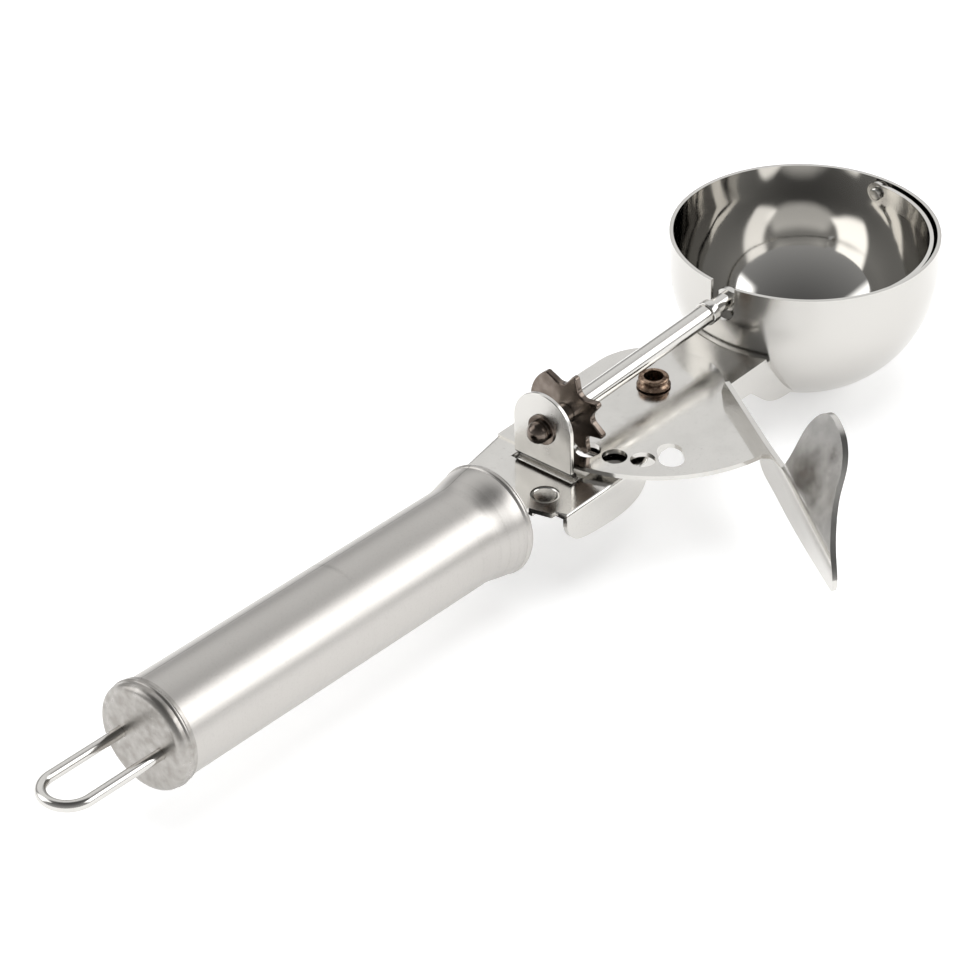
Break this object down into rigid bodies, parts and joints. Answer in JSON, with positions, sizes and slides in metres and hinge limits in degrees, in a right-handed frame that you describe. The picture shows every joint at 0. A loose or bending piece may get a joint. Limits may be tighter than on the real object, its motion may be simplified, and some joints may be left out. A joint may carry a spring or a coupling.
{
  "type": "lever ice cream scoop",
  "caption": "Hand scoop: a round bowl on a sheet arm, a tubular handle with a hanging loop, and a thumb lever whose holed sector turns a star wheel, shaft and scraper blade in the bowl.",
  "frame": {"origin": "centre of the bowl's rim circle, in the rim plane", "axes": "+X from the handle towards the bowl's far side, level below the scraper shaft, which rises 1.55 degrees along it; +Z square to the rim plane and out of the bowl, +Y away from the thumb lever"},
  "size_m": [0.2454, 0.0922, 0.0381],
  "materials": {
    "polished_steel": "mirror polished stainless steel",
    "satin_steel": "satin ground stainless steel",
    "sheet_steel": "bright rolled stainless sheet",
    "dark_steel": "dark sintered or oxidised steel",
    "copper": "copper coloured plating",
    "spring_steel": "bright drawn spring wire",
    "plug_plastic": "moulded plug"
  },
  "bodies": {
    "frame": {"bowl": "polished_steel", "far_pin": "sheet_steel", "far_washer": "sheet_steel", "ear_bush": "dark_steel", "bearing_bracket": "sheet_steel", "pivot_eyelet": "copper", "pivot_washer": "sheet_steel", "spring_cup": "sheet_steel", "return_spring": "spring_steel", "shank": "sheet_steel", "handle_tube": "satin_steel", "handle_plug": "plug_plastic", "butt_cap": "satin_steel", "hanging_loop": "polished_steel"},
    "lever_body": {"lever": "sheet_steel"},
    "scraper_body": {"scraper_band": "sheet_steel", "scraper_stem": "sheet_steel", "shaft_ferrule": "sheet_steel", "scraper_shaft": "polished_steel", "shaft_head": "dark_steel", "star_wheel": "dark_steel"}
  },
  "joints": [
    {"name": "lever_swing", "type": "hinge", "parent": "frame", "child": "lever_body", "pos_m": [-0.05, 0, -0.0134], "axis": [0, 0, 1], "range_deg": [-44, 0], "stiffness_Nm_per_rad": 0.25, "springref_deg": 20.05},
    {"name": "scraper_turn", "type": "hinge", "parent": "frame", "child": "scraper_body", "pos_m": [-0.084, 0, -0.0056], "axis": [0.9996, 0, 0.027], "range_deg": [0, 166]}
  ],
  "couplings": [
    {"joint": "scraper_turn", "follows": "lever_swing", "ratio": -3.72}
  ]
}
